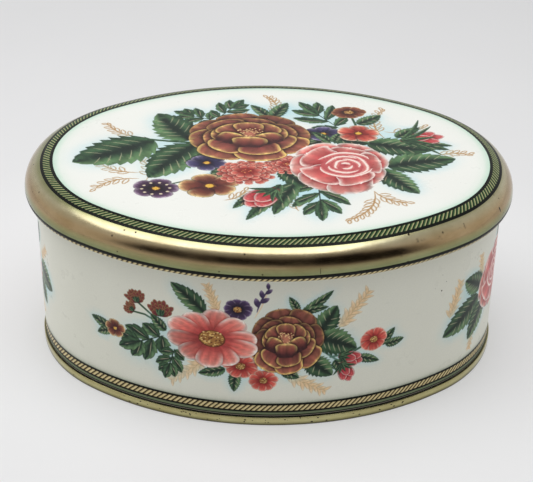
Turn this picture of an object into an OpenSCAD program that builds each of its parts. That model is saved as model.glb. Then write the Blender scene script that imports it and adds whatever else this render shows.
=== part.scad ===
// Oval tinplate box with a lift-off lid.
// Origin: centre of the resting face, +Z up, length along X, the plain back along +Y.

/* [Plan outline] */
// Length of the body wall, outside
body_length = 220; // [200:1:240]
// Width of the body wall, outside
body_width = 164; // [156:1:174]
// Radius of the two rounded ends, outside
end_radius = 68; // [60:1:72]

/* [Sheet] */
// Thickness of the tinplate
sheet = 0.3; // [0.25:0.05:0.45]

/* [Heights] */
// Height of the closed box, from the table to the flat of the lid
total_height = 95; // [80:1:120]
// Height of the seamed rim round the base
rim_height = 4.2; // [3.4:0.1:5]
// How far the base panel stands above the table
panel_rise = 3.4; // [2.4:0.1:3.4]

/* [Base rim] */
// How far the seamed rim stands out from the body wall
rim_projection = 0.85; // [0.7:0.05:1.4]

/* [Lid] */
// How far the rounded edge of the lid stands out from the body wall
lid_overhang = 4.75; // [4:0.05:6]
// Distance from the body wall in to the edge of the flat panel
panel_inset = 9.2; // [8.8:0.1:11]
// Radius of the gentle shoulder next to the flat panel
shoulder_radius = 16.5; // [15:0.5:18]
// Slope at which the shoulder turns into the rounded edge, in degrees
shoulder_slope = 25; // [22:1:27]
// Radius of the turn below the rounded edge
under_radius = 4.6; // [4.4:0.1:5]
// Slope at which the rolled lower edge begins, in degrees
under_slope = 150; // [146:1:152]
// Radius of the rolled lower edge
curl_radius = 1.3; // [1:0.05:1.4]

/* [Body wall] */
// Radius of the rolled top edge of the body
hem_radius = 1.1; // [0.9:0.05:1.3]
// Gap between the rolled top edge and the inside of the closed lid
seat_gap = 0.35; // [0.3:0.05:0.6]
// Width of the folded side seam on the inside of the back
seam_width = 5; // [4:0.5:8]
// Thickness of the folded side seam
seam_depth = 0.7; // [0.5:0.05:1]

/* [Hidden] */

$fn = 144;
fit_gap = 0.05;
web = 0.6;
overlap = 1.5;
chamfer = 0.45;
lap_angle = 2;
grid = 0.001;

// The outline is four arcs: two ends and two sides that meet in a smooth line.
half_l = body_length / 2;
half_w = body_width / 2;
side_radius = (pow(half_l - end_radius, 2) + pow(half_w, 2) - pow(end_radius, 2))
    / (2 * (half_w - end_radius));
end_centre = half_l - end_radius;
side_centre = side_radius - half_w;
end_half_angle = atan2(side_centre, end_centre);

// Lid section, as distances out from the body wall and heights.
shoulder_end_out = -panel_inset + shoulder_radius * sin(shoulder_slope);
shoulder_c = [-panel_inset, total_height - shoulder_radius];
bead_radius = (lid_overhang - shoulder_end_out) / (1 - sin(shoulder_slope));
bead_c = shoulder_c + (shoulder_radius - bead_radius) * slope_dir(shoulder_slope);
under_c = [lid_overhang - under_radius, bead_c[1]];
curl_c = under_c + (under_radius - curl_radius) * slope_dir(under_slope);
curl_reach = under_radius - curl_radius;
curl_turn = acos((pow(under_radius - sheet, 2) - pow(curl_reach, 2) - pow(curl_radius, 2))
    / (2 * curl_reach * curl_radius));
curl_join = curl_c + curl_radius * slope_dir(under_slope - curl_turn) - under_c;
curl_join_slope = atan2(curl_join[0], curl_join[1]);
body_top = bead_c[1] + sqrt(pow(bead_radius - sheet, 2) - pow(bead_c[0], 2)) - seat_gap;
hem_c = [-hem_radius, body_top - hem_radius];
hem_end_slope = -180 - asin((hem_radius - sheet) / hem_radius);

// A length rounded to the drawing grid, so that neighbouring arcs end on the same points.
function snap(v) = round(v / grid) * grid;

// Unit vector square to a surface that falls away at this slope.
function slope_dir(a) = [sin(a), cos(a)];

// Points on an arc, from slope a0 to slope a1.
function arc_points(c, r, a0, a1, n) =
    [for (i = [0:n]) c + r * slope_dir(a0 + (a1 - a0) * i / n)];

// Outer skin of the lid from the flat panel to the rolled edge, then back along the inside.
function lid_section() = concat(
    [[-panel_inset - 2 * overlap, total_height]],
    arc_points(shoulder_c, shoulder_radius, 0, shoulder_slope, 3),
    arc_points(bead_c, bead_radius, shoulder_slope + 8, 90, 7),
    arc_points(under_c, under_radius, 102, under_slope, 4),
    arc_points(curl_c, curl_radius, under_slope + 30, under_slope + 360 - curl_turn, 7),
    arc_points(under_c, under_radius - sheet, curl_join_slope - 8, 90, 3),
    arc_points(bead_c, bead_radius - sheet, 82, shoulder_slope, 6),
    arc_points(shoulder_c, shoulder_radius - sheet, shoulder_slope - 8, 0, 2),
    [[-panel_inset - 2 * overlap, total_height - sheet]]
);

// The wall with its top edge rolled inwards.
function wall_section() = concat(
    [[-sheet, web], [0, web]],
    arc_points(hem_c, hem_radius, 90, hem_end_slope, 10)
);

// The rim folded round the foot of the wall, and the edge of the raised panel.
function rim_section() = [
    [rim_projection - chamfer, 0],
    [rim_projection, chamfer],
    [rim_projection, rim_height - chamfer],
    [rim_projection - chamfer, rim_height],
    [fit_gap, rim_height],
    [fit_gap, web],
    [-sheet - fit_gap, web],
    [-sheet - fit_gap, panel_rise],
    [-3 * overlap, panel_rise],
    [-3 * overlap, panel_rise - sheet],
    [-4 * sheet, panel_rise - sheet],
    [-4 * sheet, chamfer],
    [chamfer - 4 * sheet, 0]
];

// Carries a section round an arc that starts where an end meets a side. turn is which way it
// goes: 1 towards the middle of the side, -1 towards the middle of the end. The arc runs a
// little past the middle, so that it laps over its mirror image.
module arc_sweep(centre, radius, turn, half_angle, section) {
    translate([centre[0], centre[1], 0])
        rotate([0, 0, end_half_angle])
            rotate_extrude(angle = turn * (half_angle + lap_angle))
                polygon([for (p = section) [radius + snap(p[0]), snap(p[1])]]);
}

// Carries a section all the way round the outline.
module oval_sweep(section) {
    for (flip_x = [0, 1], flip_y = [0, 1])
        mirror([flip_x, 0, 0]) mirror([0, flip_y, 0]) {
            arc_sweep([end_centre, 0], end_radius, -1, end_half_angle, section);
            arc_sweep([0, -side_centre], side_radius, 1, 90 - end_half_angle, section);
        }
}

// The outline filled in, moved in or out from the body wall.
module oval_area(out) {
    join_x = end_centre + (end_radius + out) * cos(end_half_angle);
    reach = body_length;
    intersection() {
        translate([0, side_centre]) circle(side_radius + out);
        translate([0, -side_centre]) circle(side_radius + out);
        square([2 * join_x, reach], center = true);
    }
    for (side = [-1, 1])
        intersection() {
            translate([side * end_centre, 0]) circle(end_radius + out);
            translate([side * (join_x + reach / 2), 0]) square([reach, reach], center = true);
        }
}

// A flat oval sheet with its lower face at height z.
module oval_sheet(out, z) {
    translate([0, 0, z]) linear_extrude(sheet) oval_area(out);
}

module body_wall() {
    color("ivory") {
        oval_sweep(wall_section());
        side_seam();
    }
}

// The folded lock seam, on the inside of the back.
module side_seam() {
    seam_height = body_top - 2 * hem_radius - panel_rise - 1;
    translate([-seam_width / 2, half_w - sheet - seam_depth, panel_rise + 1])
        cube([seam_width, seam_depth + sheet / 2, seam_height]);
}

module base() {
    color("darkkhaki") {
        oval_sweep(rim_section());
        oval_sheet(-2 * overlap, panel_rise - sheet);
    }
}

module lid() {
    color("goldenrod") {
        oval_sweep(lid_section());
        oval_sheet(-panel_inset - overlap, total_height - sheet);
    }
}

body_wall();
base();
lid();
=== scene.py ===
"""An oval lithographed tin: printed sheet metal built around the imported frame.

Lengths in the helpers are in millimetres; meshes are made in metres. A section is a list of
(out, z) points, where out is the distance outwards from the body wall. Colours are sRGB, 0-255.
"""

from math import atan, atan2, cos, hypot, log, pi, radians, sin

import bpy
import numpy as np
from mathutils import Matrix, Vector


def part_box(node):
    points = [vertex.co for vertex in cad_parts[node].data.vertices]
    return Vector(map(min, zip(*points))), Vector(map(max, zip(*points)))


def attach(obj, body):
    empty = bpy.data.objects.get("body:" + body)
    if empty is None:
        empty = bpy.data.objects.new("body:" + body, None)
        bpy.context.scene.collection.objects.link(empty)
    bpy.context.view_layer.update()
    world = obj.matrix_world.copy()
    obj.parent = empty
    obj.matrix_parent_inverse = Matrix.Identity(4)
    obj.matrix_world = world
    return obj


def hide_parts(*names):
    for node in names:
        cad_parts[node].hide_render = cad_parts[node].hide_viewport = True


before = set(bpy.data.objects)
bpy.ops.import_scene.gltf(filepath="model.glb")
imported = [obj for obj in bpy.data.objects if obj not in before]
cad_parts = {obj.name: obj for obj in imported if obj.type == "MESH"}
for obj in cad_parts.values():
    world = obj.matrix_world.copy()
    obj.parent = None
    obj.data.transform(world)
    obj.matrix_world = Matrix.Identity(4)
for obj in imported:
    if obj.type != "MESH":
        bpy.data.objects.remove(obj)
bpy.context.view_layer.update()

MM = 0.001


# ---------------------------------------------------------------- sizes from the frame

def box_mm(node):
    return [[round(c / MM, 2) for c in corner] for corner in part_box(node)]


(_, _, WALL_FOOT), (wall_x, wall_y, WALL_TOP) = box_mm("body_wall")
_, (rim_x, _, RIM_TOP) = box_mm("base")
_, (lid_x, _, TOP) = box_mm("lid")

HALF_L, HALF_W = round(wall_x, 1), round(wall_y, 1)
RIM_OUT, LID_OUT = rim_x - HALF_L, lid_x - HALF_L
END_RADIUS = 68.0
SHEET = 0.3                 # thickness of the metal
SKIN = 0.08                 # thickness of the print
PANEL_RISE = 3.4            # height of the base's panel

# The lid's section, from the flat panel out to the rolled edge.
PANEL_INSET = 9.2
SHOULDER_R, SHOULDER_SLOPE = 16.5, 25.0
UNDER_R, UNDER_SLOPE = 4.6, 150.0
CURL_R = 1.3

# The lid's picture ends this far in from the wall, and sits a little to the right and
# forwards of the metal.
PANEL_EDGE = 8.05
PRINT_SHIFT = (1.0, -0.7)

# The heights of the wall's print, and half the length of the front's and the back's.
PRINT_LOW, PRINT_HIGH = 11.9, 90.0
FRONT_HALF = 96.0


def direction(slope):
    """Out and up parts of the normal of a surface that falls away at this slope, in degrees."""
    return np.array([sin(radians(slope)), cos(radians(slope))])


def arc(centre, radius, slope_from, slope_to, steps):
    slopes = np.linspace(slope_from, slope_to, steps + 1)
    return [tuple(centre + radius * direction(s)) for s in slopes]


shoulder_c = np.array([-PANEL_INSET, TOP - SHOULDER_R])
shoulder_end = shoulder_c + SHOULDER_R * direction(SHOULDER_SLOPE)
BEAD_R = (LID_OUT - shoulder_end[0]) / (1 - sin(radians(SHOULDER_SLOPE)))
bead_c = shoulder_end - BEAD_R * direction(SHOULDER_SLOPE)
under_c = np.array([LID_OUT - UNDER_R, bead_c[1]])
curl_c = under_c + (UNDER_R - CURL_R) * direction(UNDER_SLOPE)


# ---------------------------------------------------------------- the outline

class Outline:
    """The four-arc oval of the wall. s runs anticlockwise from the +X end, in mm."""

    def __init__(self, half_l, half_w, end_r):
        cx = half_l - end_r
        side_r = (cx ** 2 + half_w ** 2 - end_r ** 2) / (2 * (half_w - end_r))
        cy = side_r - half_w
        turn = atan2(cy, cx)
        self.turns = np.array([0, turn, pi - turn, pi + turn, 2 * pi - turn, 2 * pi])
        self.radii = np.array([end_r, side_r, end_r, side_r, end_r])
        self.centres = np.array([(cx, 0), (0, -cy), (-cx, 0), (0, cy), (cx, 0)])
        self.marks = np.concatenate([[0], np.cumsum(np.diff(self.turns) * self.radii)])
        self.length = float(self.marks[-1])

    def place(self, s, out):
        """Points at arc length s and distance out, with the outward normals."""
        s = np.mod(s, self.length)
        angle = np.interp(s, self.marks, self.turns)
        part = np.clip(np.searchsorted(self.marks, s, side="right") - 1, 0, 4)
        normal = np.stack([np.cos(angle), np.sin(angle)], -1)
        return self.centres[part] + normal * (self.radii[part] + out)[..., None], normal

    def radius_towards(self, angle, out):
        """Distance from the middle to the outline moved out by this much, in a direction."""
        s = np.linspace(0, self.length, 4000, endpoint=False)
        points, _ = self.place(s, np.full_like(s, out))
        found = np.mod(np.arctan2(points[:, 1], points[:, 0]), 2 * pi)
        order = np.argsort(found)
        return np.interp(np.mod(angle, 2 * pi), found[order], np.hypot(*points[order].T),
                         period=2 * pi)


outline = Outline(HALF_L, HALF_W, END_RADIUS)
RIGHT_S, BACK_S, LEFT_S, FRONT_S = (quarter / 4 * outline.length for quarter in range(4))


# ---------------------------------------------------------------- meshes

def make_object(name, verts, faces, smooth_angle=35):
    mesh = bpy.data.meshes.new(name)
    mesh.from_pydata([tuple(v) for v in np.asarray(verts) * MM], [], faces)
    mesh.validate()
    mesh.shade_smooth()
    mesh.set_sharp_from_angle(angle=radians(smooth_angle))
    obj = bpy.data.objects.new(name, mesh)
    bpy.context.scene.collection.objects.link(obj)
    return obj


def add_layer(obj, name, domain, vectors):
    layer = obj.data.attributes.new(name, "FLOAT_VECTOR", domain)
    layer.data.foreach_set("vector", np.asarray(vectors, np.float32).ravel())


def section_lengths(section):
    steps = np.hypot(*np.diff(np.asarray(section), axis=0).T)
    return np.concatenate([[0], np.cumsum(steps)])


def print_slide(s):
    """How far outwards the slightly misplaced print sits at each length round the outline."""
    _, normal = outline.place(s, np.zeros_like(s))
    return normal @ np.array(PRINT_SHIFT)


def swept(name, section, closed=True, sliding=None, count=480):
    """Carries a section round the outline. The section runs outwards and down with the metal on
    its right. The corners of its faces carry "band": the length round the outline and the
    length along the section. sliding(d) gives the section where the print is d further out."""
    section = [tuple(p) for p in section]
    rows = len(section)
    s = np.linspace(0, outline.length, count + 1)
    lines = np.broadcast_to(np.array(section), (count, rows, 2))
    if sliding:
        lines = np.array([sliding(d) for d in print_slide(s[:count])])
    verts = np.empty((count, rows, 3))
    for j in range(rows):
        verts[:, j, :2], _ = outline.place(s[:count], lines[:, j, 0])
        verts[:, j, 2] = lines[:, j, 1]
    lengths = section_lengths(section + [section[0]])
    faces, band = [], []
    for i in range(count):
        a, b = i * rows, (i + 1) % count * rows
        for j in range(rows if closed else rows - 1):
            k = (j + 1) % rows
            faces.append((a + j, a + k, b + k, b + j))
            near, far = lengths[j], lengths[j + 1]
            band += [(s[i], near, 0), (s[i], far, 0), (s[i + 1], far, 0), (s[i + 1], near, 0)]
    if not closed:
        loop = np.arange(count) * rows
        faces += [loop.tolist(), (loop + rows - 1)[::-1].tolist()]
        band += [(0, 0, 0)] * count + [(0, lengths[-2], 0)] * count
    obj = make_object(name, verts.reshape(-1, 3), faces)
    add_layer(obj, "band", "CORNER", band)
    return obj


# ---------------------------------------------------------------- painting the prints

def smooth(x, low, high):
    t = np.clip((x - low) / (high - low), 0, 1)
    return t * t * (3 - 2 * t)


def mix(a, b, t):
    t = np.asarray(t)[..., None]
    return np.asarray(a, float) * (1 - t) + np.asarray(b, float) * t


def linear(srgb):
    c = np.clip(np.asarray(srgb, float) / 255, 0, 1)
    return np.where(c <= 0.04045, c / 12.92, ((c + 0.055) / 1.055) ** 2.4)


def mottle(x, y, size, seed):
    """Smooth noise from -1 to 1, made of a few waves in seeded directions."""
    rng = np.random.default_rng(seed)
    total = 0
    for _ in range(6):
        a, phase = rng.uniform(0, 2 * pi, 2)
        k = 2 * pi / (size * rng.uniform(0.6, 1.6))
        total = total + np.sin(k * (x * cos(a) + y * sin(a)) + phase)
    return total / 3.5


def polar(centre, reach, angle):
    """The point at this distance and angle from a centre."""
    return centre[0] + reach * cos(angle), centre[1] + reach * sin(angle)


def between(root, tip, t):
    return root[0] + t * (tip[0] - root[0]), root[1] + t * (tip[1] - root[1])


def aim(root, tip):
    """Length and angle from root to tip."""
    dx, dy = tip[0] - root[0], tip[1] - root[1]
    return hypot(dx, dy), atan2(dy, dx)


class Canvas:
    """A flat picture in mm, painted in sRGB, that is later read at mesh points. inked is where
    petals and leaves are: only there do the ones above cast a shadow."""

    def __init__(self, x_range, y_range, ground, seed, pitch=0.16):
        self.pitch = pitch
        self.x = np.arange(x_range[0], x_range[1] + pitch, pitch)
        self.y = np.arange(y_range[0], y_range[1] + pitch, pitch)
        self.rgb = np.empty((len(self.y), len(self.x), 3), np.float32)
        self.rgb[:] = ground
        self.grain = np.random.default_rng(seed).random(self.rgb.shape[:2], dtype=np.float32)
        self.inked = np.zeros_like(self.grain)
        self.move_all(0.0)

    def move_all(self, shift):
        """Everything painted from now on lies this far along x."""
        self.shift = shift
        self.move_to(0, 0)

    def move_to(self, x, y, squash=1.0):
        """The brushes then count from this point, with lengths along y squashed."""
        self.origin, self.squash = (self.shift + x, y), squash

    def window(self, x_low, x_high, y_low, y_high):
        """The samples in a box, as an index, and their places counted from the origin."""
        (x, y), squash = self.origin, self.squash
        i0, i1 = np.searchsorted(self.x, (x + x_low, x + x_high))
        j0, j1 = np.searchsorted(self.y, (y + y_low * squash, y + y_high * squash))
        area = (slice(j0, j1), slice(i0, i1))
        return area, self.x[None, i0:i1] - x, (self.y[j0:j1, None] - y) / squash

    def window_round(self, points, pad):
        x, y = np.transpose(points)
        return self.window(x.min() - pad, x.max() + pad, y.min() - pad, y.max() + pad)

    def lay(self, area, colour, cover):
        patch = self.rgb[area]
        patch += (np.asarray(colour, np.float32) - patch) * cover[..., None]

    def sharp(self, inside):
        """Cover of a shape with a crisp edge, from the distance inside that edge."""
        return np.clip(inside / self.pitch + 0.5, 0, 1)

    def read(self, x, y):
        """Colour at points, between the four nearest samples."""
        fx = np.clip((x - self.x[0]) / self.pitch, 0, len(self.x) - 1.001)
        fy = np.clip((y - self.y[0]) / self.pitch, 0, len(self.y) - 1.001)
        i, j = fx.astype(int), fy.astype(int)
        fx, fy = (fx - i)[..., None], (fy - j)[..., None]
        g = self.rgb
        near = g[j, i] * (1 - fx) + g[j, i + 1] * fx
        far = g[j + 1, i] * (1 - fx) + g[j + 1, i + 1] * fx
        return near * (1 - fy) + far * fy

    # -- brushes

    def glow(self, x, y, rx, ry, colour, strength, angle=0.0):
        """A soft airbrushed patch with a fine stipple."""
        area, gx, gy = self.window_round([(x, y)], 1.4 * max(rx, ry))
        c, s = cos(angle), sin(angle)
        dx, dy = gx - x, gy - y
        d = ((dx * c + dy * s) / rx) ** 2 + ((dy * c - dx * s) / ry) ** 2
        cover = strength * np.exp(-1.8 * d * d) * (0.72 + 0.56 * self.grain[area])
        self.lay(area, colour, np.clip(cover, 0, 1))

    def dot(self, x, y, radius, colour, cover=1.0):
        area, gx, gy = self.window_round([(x, y)], radius + 1)
        self.lay(area, colour, cover * self.sharp(radius - np.hypot(gx - x, gy - y)))

    def stroke(self, points, width, colour, cover=1.0, taper=True):
        """A brush line through points, thin at both ends."""
        area, gx, gy = self.window_round(points, width + 1)
        spans = len(points) - 1
        best = np.full(np.broadcast(gx, gy).shape, -9.0)
        for k in range(spans):
            (ax, ay), (bx, by) = points[k], points[k + 1]
            dx, dy = bx - ax, by - ay
            t = np.clip(((gx - ax) * dx + (gy - ay) * dy) / (dx * dx + dy * dy + 1e-9), 0, 1)
            far = np.hypot(gx - ax - t * dx, gy - ay - t * dy)
            half = width / 2 * (np.sin(pi * (k + t) / spans) ** 0.5 if taper else 1)
            best = np.maximum(best, half - far)
        self.lay(area, colour, cover * self.sharp(best))

    def blade(self, root, angle, length, width, shape, paint, bend=0.0, rim=None, shadow=None):
        """One petal or leaf. shape(u, side) is the half width from root (u = 0) to tip, as a
        part of the whole. paint(u, v, x, y, inside) is the colour: v runs from -1 to 1 across
        and inside is the distance from the edge. A rim is (colour, width, cover), a shadow on
        the petals and leaves below is (reach, tint)."""
        c, s = cos(angle), sin(angle)
        tip = (root[0] + length * c - bend * length * s, root[1] + length * s + bend * length * c)
        pad = width * 0.62 + 0.6 + (shadow[0] if shadow else 0)
        area, gx, gy = self.window_round([root, tip], pad)
        dx, dy = gx - root[0], gy - root[1]
        u = (dx * c + dy * s) / length
        across = -dx * s + dy * c - bend * length * u * np.abs(u)
        uc, side = np.clip(u, 0, 1), np.sign(across)
        half = np.maximum(width / 2 * shape(uc, side), 1e-3)
        inside = np.minimum(half - np.abs(across), length * np.minimum(u, 1 - u) + 0.05)
        if shadow:
            reach, tint = shadow
            full = width / 2 * shape(np.minimum(uc, 0.7), side)
            corner = np.minimum(full, 0.45 * length)
            far = np.hypot(np.maximum(np.abs(across) - full + corner, 0),
                           np.maximum(length * (u - 1) + corner, 0)) - corner
            shade = 0.85 * smooth(-far, -reach, 0.0) ** 1.5 * smooth(u, -0.02, 0.25)
            self.lay(area, self.rgb[area] * np.array(tint, np.float32), shade * self.inked[area])
        if rim:
            rim_colour, rim_width, rim_cover = rim
            self.lay(area, rim_colour, rim_cover * self.sharp(inside + rim_width))
        cover = self.sharp(inside)
        self.lay(area, paint(uc, np.clip(across / half, -1.2, 1.2), gx, gy, inside), cover)
        np.maximum(self.inked[area], cover, out=self.inked[area])


# -- shapes of petals and leaves

def petal_shape(fullness=0.62, root=0.3):
    def shape(u, side):
        low = root + (1 - root) * np.sin(pi / 2 * np.clip(u / fullness, 0, 1))
        high = np.sqrt(np.clip(1 - (np.clip(u - fullness, 0, 1) / (1 - fullness)) ** 2, 0, 1))
        return np.where(u < fullness, low, high)
    return shape


def wavy_shape(fullness, root, waves, depth, phase):
    plain = petal_shape(fullness, root)
    return lambda u, side: plain(u, side) * (1 + depth * np.sin(waves * 6.3 * u + phase + side))


def lens_shape(point):
    """Pointed at both ends, and widest at this part of its length."""
    power = log(0.5) / log(point)
    return lambda u, side: np.sin(pi * u ** power) ** 0.7


def leaf_shape(teeth=9, depth=0.2, point=0.4):
    lens = lens_shape(point)
    return lambda u, side: lens(u, side) * (1 - depth + depth * np.mod(u * teeth + 0.35 * side, 1))


# -- colours across petals and leaves

def petal_paint(root, middle, tip, rim=None, veins=0.07, lines=9, seed=0, rim_width=0.9):
    def paint(u, v, x, y, inside):
        colour = mix(root, middle, smooth(u, 0.08, 0.55))
        colour = mix(colour, tip, smooth(u + 0.05 * np.sin(7 * v + seed), 0.5, 1.0))
        if rim:
            edge = 1 - smooth(inside, 0.1, rim_width)
            colour = mix(colour, rim, edge * smooth(u, 0.25, 0.7))
        streaks = np.sin(v * lines + 1.3 * np.sin(4 * u + seed)) + 0.5 * np.sin(v * 2.3 * lines)
        light = 1 + veins * streaks - 0.16 * smooth(np.abs(v), 0.55, 1.05)
        return colour * (light + 0.05 * mottle(x, y, 2.2, seed + 11))[..., None]
    return paint


def shaded(paint, shade):
    return lambda *at: paint(*at) * shade


LEAF_DARK, LEAF_MID, LEAF_LIGHT = (20, 38, 30), (62, 96, 64), (120, 152, 104)
LEAF_VEIN, LEAF_EDGE, RIB = (206, 194, 160), (16, 34, 24), (18, 38, 26)


def leaf_paint(seed=0):
    def paint(u, v, x, y, inside):
        colour = mix(LEAF_DARK, LEAF_MID, smooth(np.abs(v), 0.02, 0.6))
        colour = mix(colour, LEAF_LIGHT, 0.6 * smooth(v + 0.3 * u, 0.3, 1.0))
        colour = mix(colour, LEAF_DARK, 0.5 * smooth(-v, 0.5, 1.1))
        ribs = np.sin(20 * (u - 0.35 * np.abs(v)) + seed)
        return colour * (1 + 0.12 * ribs + 0.07 * mottle(x, y, 1.8, seed + 5))[..., None]
    return paint


# -- plants. Each goes from a root to a tip.

def leaf(canvas, root, tip, width, bend, veins, seed):
    """A serrated leaf with a dark midrib and pale vein strokes."""
    length, angle = aim(root, tip)
    angle -= atan(bend)
    length *= cos(atan(bend))
    canvas.blade(root, angle, length, width, leaf_shape(), leaf_paint(seed), bend,
                 rim=(LEAF_EDGE, 0.18, 0.7))

    def at(u, across):
        return polar(polar(root, u * length, angle), across + bend * length * u * u, angle + pi / 2)
    canvas.stroke([at(u, 0) for u in np.linspace(0.0, 0.93, 8)], 0.55, RIB, 0.85)
    lens = lens_shape(0.4)
    for k in range(veins):
        for side in (-1, 1):
            u = 0.14 + 0.62 * (k + 0.25 * (side + 1)) / veins
            reach = width / 2 * float(lens(np.array(u + 0.1), 1)) * 0.74
            canvas.stroke([at(u + 0.14 * t, side * reach * (0.18 + 0.72 * t ** 0.85))
                           for t in np.linspace(0, 1, 5)], 0.42, LEAF_VEIN, 0.72)


def lobed_leaf(canvas, root, tip, width, seed):
    """A leaf of pointed lobes in pairs along one rib."""
    length, angle = aim(root, tip)
    for along, turn, size in ((0.04, 1.2, 0.36), (0.10, -1.2, 0.36), (0.26, 0.95, 0.50),
                              (0.32, -0.95, 0.48), (0.48, 0.75, 0.42), (0.54, -0.75, 0.38),
                              (0.50, 0.0, 0.50)):
        start = between(root, tip, along)
        end = polar(start, size * length, angle + turn)
        canvas.blade(start, angle + turn, size * length, width * 0.33, leaf_shape(3, 0.24, 0.5),
                     leaf_paint(seed), -0.15 * np.sign(turn), rim=(LEAF_EDGE, 0.22, 0.8))
        canvas.stroke([between(start, end, t) for t in (0.15, 0.45, 0.75)], 0.42, LEAF_VEIN, 0.75)
    canvas.stroke([root, between(root, tip, 0.8)], 0.6, RIB, 0.9)


def stem(canvas, points, width):
    canvas.stroke(points, width + 0.3, RIB, 0.7, taper=False)
    canvas.stroke(points, width, (48, 84, 52), 1, taper=False)


def sprig(canvas, root, tip, leaflets, size, bend, colour, filled=False):
    """A curved twig with pairs of small leaflets, drawn in outline or filled."""
    length, angle = aim(root, tip)

    def at(t):
        return polar(between(root, tip, t), bend * length * 4 * t * (1 - t), angle + pi / 2)
    canvas.stroke([at(t) for t in np.linspace(0, 1, 12)], 0.85, colour, 0.95)
    for k in range(leaflets):
        t = 0.2 + 0.78 * k / (leaflets - 1)
        grow = size * (1.1 - 0.4 * t)
        turn = angle + (0.7 - 0.25 * t) * (-1) ** k
        if filled:
            canvas.blade(at(t), turn, grow, grow * 0.5, lens_shape(0.5),
                         petal_paint(colour, colour, (150, 132, 164)))
            continue
        for side in (-pi / 2, pi / 2):
            canvas.stroke([polar(polar(at(t), grow * u, turn), w * grow, turn + side) for u, w in
                           ((0, 0), (0.25, 0.15), (0.55, 0.2), (0.82, 0.12), (1, 0))],
                          0.65, colour, 0.95)


def wheat(canvas, root, tip, grains=9, colour=(238, 208, 164)):
    """A loose ear of pointed grains, one side after the other, on a thin stalk."""
    length, angle = aim(root, tip)
    canvas.stroke([root, tip], 0.5, (220, 180, 128), 0.9)
    for k in range(grains):
        t = 0.04 + 0.84 * k / (grains - 1)
        grain = (0.19 * length + 1.2) * (1.1 - 0.35 * t)
        paint = petal_paint(colour, colour, (252, 232, 200), veins=0.04, seed=k)
        for turn, part in ((0.55 * (-1) ** k, 1.0), (-0.35 * (-1) ** k, 0.75)):
            canvas.blade(between(root, tip, t), angle + turn, grain * part, 0.34 * grain,
                         lens_shape(0.5), paint, 0.25 * np.sign(turn), ((214, 174, 120), 0.14, 0.7))


def rosebud(canvas, root, tip, width, sepal=0.62, seed=0):
    """A closed bud on a calyx: root is where the stem meets it. sepal is the sepals' length as
    a part of the bud's."""
    length, angle = aim(root, tip)
    paint = petal_paint(*BUD, veins=0.09, seed=seed, rim_width=0.1 * width)
    for turn, size in ((0.0, 1.0), (0.24, 0.88), (-0.24, 0.86), (0.05, 0.7)):
        canvas.blade(root, angle + turn, length * size, width * (0.55 + 0.2 * size),
                     petal_shape(0.55), paint, rim=((140, 44, 54), 0.16, 0.8),
                     shadow=(0.1 * width, ROSE_SHADE))
    for turn, size in ((0.66, 1.0), (-0.66, 0.95), (0.3, 0.9), (-0.3, 0.85), (0.0, 0.75)):
        canvas.blade(root, angle + turn, sepal * length * size, 0.13 * length, lens_shape(0.35),
                     leaf_paint(seed), 0.25 * np.sign(turn), rim=(LEAF_EDGE, 0.12, 0.7))


def tuft(canvas, x, y, radius, angle, seed):
    """A small half-open flower head: a fan of narrow petals on a green cup."""
    rng = np.random.default_rng(seed)
    root = polar((x, y), -0.7 * radius, angle)
    paint = petal_paint(*TUFT, rim_width=0.28, seed=seed)
    for reach in (1.75, 1.35, 0.95):
        for turn in np.linspace(-1.0, 1.0, 7):
            a = angle + turn * (1.5 - 0.35 * reach) + 0.08 * rng.uniform(-1, 1)
            canvas.blade(root, a, reach * radius * rng.uniform(0.9, 1.05), 0.5 * radius,
                         petal_shape(0.7, 0.2), paint, rim=((56, 22, 20), 0.12, 0.8))
    for turn in (-0.5, 0.5, 0.0):
        canvas.blade(root, angle + turn, 0.8 * radius, 0.42 * radius, lens_shape(0.4),
                     leaf_paint(seed), rim=(LEAF_EDGE, 0.1, 0.7))


# -- flowers, each drawn round its own middle. Petal tones go from root to tip, then the rim.

PEONY_BACK = ((50, 20, 24), (108, 53, 48), (142, 84, 66), (196, 154, 96))
PEONY_FRONT = ((58, 20, 26), (120, 56, 52), (160, 98, 76), (240, 206, 122))
PEONY_CUP = ((64, 24, 28), (128, 64, 56), (170, 114, 84), (226, 192, 114))
PEONY_LIP = ((64, 24, 28), (132, 66, 56), (180, 120, 86), (248, 218, 132))
ROSE = ((162, 62, 64), (196, 96, 92), (222, 148, 138), (255, 236, 226))
ROSE_DEEP = ((142, 42, 50), (182, 74, 74), (212, 124, 116), (252, 230, 220))
ROSE_SHADE = (0.84, 0.52, 0.54)
ZINNIA = ((134, 42, 40), (186, 84, 74), (222, 132, 114), (248, 200, 178))
BUD = ((122, 20, 36), (176, 50, 60), (208, 96, 96), (252, 222, 212))
TUFT = ((66, 20, 28), (104, 38, 44), (136, 64, 58), (206, 176, 100))
DAISY_CORAL = ((170, 62, 60), (214, 108, 98), (234, 158, 144), (252, 230, 220))
DAISY_RED = ((140, 36, 36), (196, 76, 66), (220, 120, 104), (246, 196, 174))
DAISY_BROWN = ((52, 22, 18), (106, 50, 36), (148, 86, 60), (198, 152, 110))
DAISY_VIOLET = ((26, 16, 36), (56, 38, 70), (86, 66, 104), (152, 136, 164))
BROWN = ((70, 26, 28), (112, 56, 44), (186, 138, 94), (240, 218, 164))
PLUM = ((26, 14, 28), (58, 34, 60), (112, 82, 116), (190, 172, 188))
VIOLET = ((26, 22, 46), (56, 50, 88), (100, 94, 130), (172, 166, 188))
RED = ((132, 36, 34), (188, 74, 62), (226, 136, 112), (255, 226, 200))


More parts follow.
